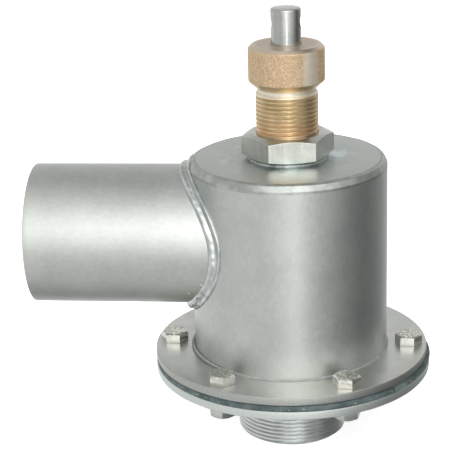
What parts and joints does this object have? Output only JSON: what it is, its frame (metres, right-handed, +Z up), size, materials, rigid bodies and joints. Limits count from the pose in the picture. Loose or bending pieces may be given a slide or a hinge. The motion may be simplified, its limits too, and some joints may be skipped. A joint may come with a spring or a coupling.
{
  "type": "safety valve",
  "caption": "Spring-loaded safety valve with a flanged round body, a wide side outlet, a threaded inlet below, a brass adjusting screw and a lifting stem on top.",
  "frame": {"origin": "middle of the inlet nipple's lower end, on the valve's axis", "axes": "+Z up along the stem, -X out of the side outlet"},
  "size_m": [0.2161, 0.1522, 0.237],
  "materials": {
    "nipple_steel": "turned stainless steel",
    "flange_steel": "satin stainless plate with a sawn edge",
    "gasket_rubber": "dark rubber sheet, cut edge",
    "fastener_steel": "bare stainless fasteners",
    "shell_steel": "satin stainless sheet",
    "plate_steel": "brushed stainless plate",
    "weld_steel": "bare weld bead",
    "pipe_steel": "satin stainless tube",
    "bush_steel": "machined stainless steel",
    "brass": "cast and machined brass",
    "stem_steel": "ground stainless bar",
    "valve_steel": "turned stainless steel",
    "seal_rubber": "moulded rubber",
    "spring_steel": "stainless spring wire"
  },
  "bodies": {
    "valve_body": {"inlet_nipple": "nipple_steel", "inlet_weld": "weld_steel", "lower_flange": "flange_steel", "gasket": "gasket_rubber", "upper_flange": "flange_steel", "body_shell": "shell_steel", "top_plate": "plate_steel", "rim_weld": "weld_steel", "foot_weld": "weld_steel", "outlet_pipe": "pipe_steel", "outlet_weld": "weld_steel", "threaded_bush": "bush_steel", "bush_weld": "weld_steel", "flange_bolt_1": "fastener_steel", "flange_nut_1": "fastener_steel", "flange_bolt_2": "fastener_steel", "flange_nut_2": "fastener_steel", "flange_bolt_3": "fastener_steel", "flange_nut_3": "fastener_steel", "flange_bolt_4": "fastener_steel", "flange_nut_4": "fastener_steel", "flange_bolt_5": "fastener_steel", "flange_nut_5": "fastener_steel", "flange_bolt_6": "fastener_steel", "flange_nut_6": "fastener_steel"},
    "valve_stem": {"stem": "stem_steel", "valve_disc": "valve_steel", "seat_seal": "seal_rubber", "seal_retainer": "valve_steel", "stem_nut": "fastener_steel", "spring": "spring_steel"},
    "spring_plate": {"upper_spring_plate": "valve_steel"},
    "adjusting_screw": {"adjusting_screw": "brass"}
  },
  "joints": [
    {"name": "valve_lift", "type": "slide", "parent": "valve_body", "child": "valve_stem", "axis": [0, 0, 1], "range_m": [0, 0.012], "stiffness_N_per_m": 22200, "springref_m": -0.008, "deforming": ["spring"]},
    {"name": "spring_plate_travel", "type": "slide", "parent": "valve_body", "child": "spring_plate", "axis": [0, 0, -1], "range_m": [-0.00462, 0.01617], "deforming": ["spring"]},
    {"name": "screw_turn", "type": "hinge", "parent": "spring_plate", "child": "adjusting_screw", "pos_m": [0, 0, 0.19], "axis": [0, 0, -1], "range_deg": [-720, 2520]}
  ],
  "couplings": [
    {"joint": "spring_plate_travel", "follows": "screw_turn", "m_per_rad": 0.00036749}
  ]
}
